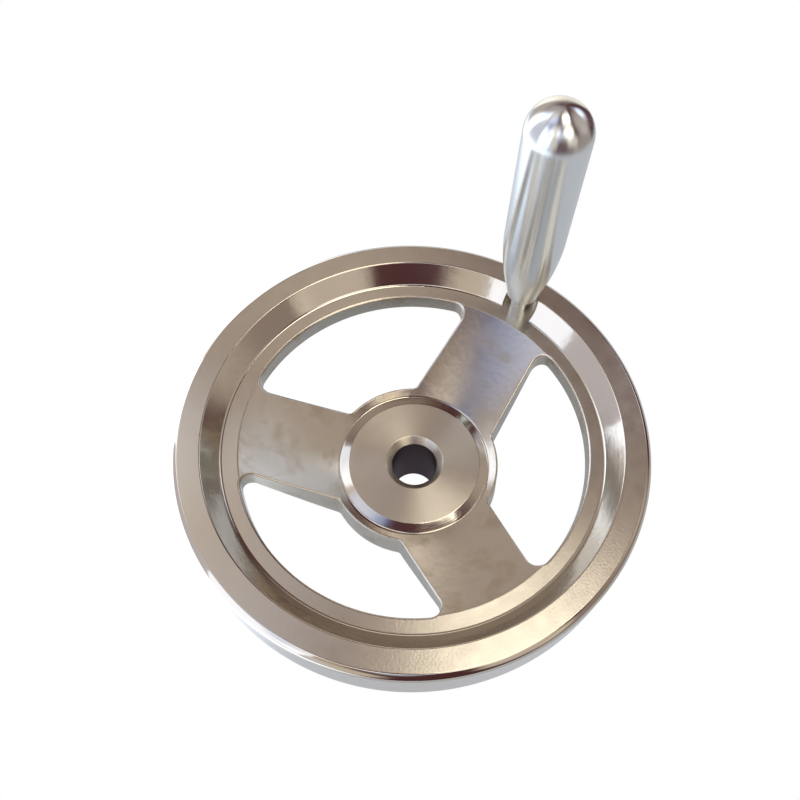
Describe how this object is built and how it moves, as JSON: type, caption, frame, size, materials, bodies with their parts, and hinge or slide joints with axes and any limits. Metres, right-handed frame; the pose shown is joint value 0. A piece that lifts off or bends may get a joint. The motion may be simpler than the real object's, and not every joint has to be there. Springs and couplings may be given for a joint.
{
  "type": "machine handwheel",
  "caption": "Dished three-spoke metal handwheel with a bevelled rim, a plain hub bore and a revolving domed crank handle standing on the rim.",
  "frame": {"origin": "on the bore's axis at the hub's rear face", "axes": "+Z along the bore towards the operator, +X from the bore towards the handle"},
  "size_m": [0.16, 0.16, 0.1431],
  "materials": {
    "plated_casting": "satin",
    "turned_steel": "satin",
    "spring_steel": "satin",
    "polished_plating": "polished"
  },
  "bodies": {
    "wheel": {"handwheel": "plated_casting", "handle_spindle": "turned_steel", "handle_snap_ring": "spring_steel"},
    "grip": {"handle_grip": "polished_plating"}
  },
  "joints": [
    {"name": "grip_spin", "type": "hinge", "parent": "wheel", "child": "grip", "pos_m": [0.0675, 0, 0.058], "axis": [0, 0, 1], "continuous": true}
  ]
}
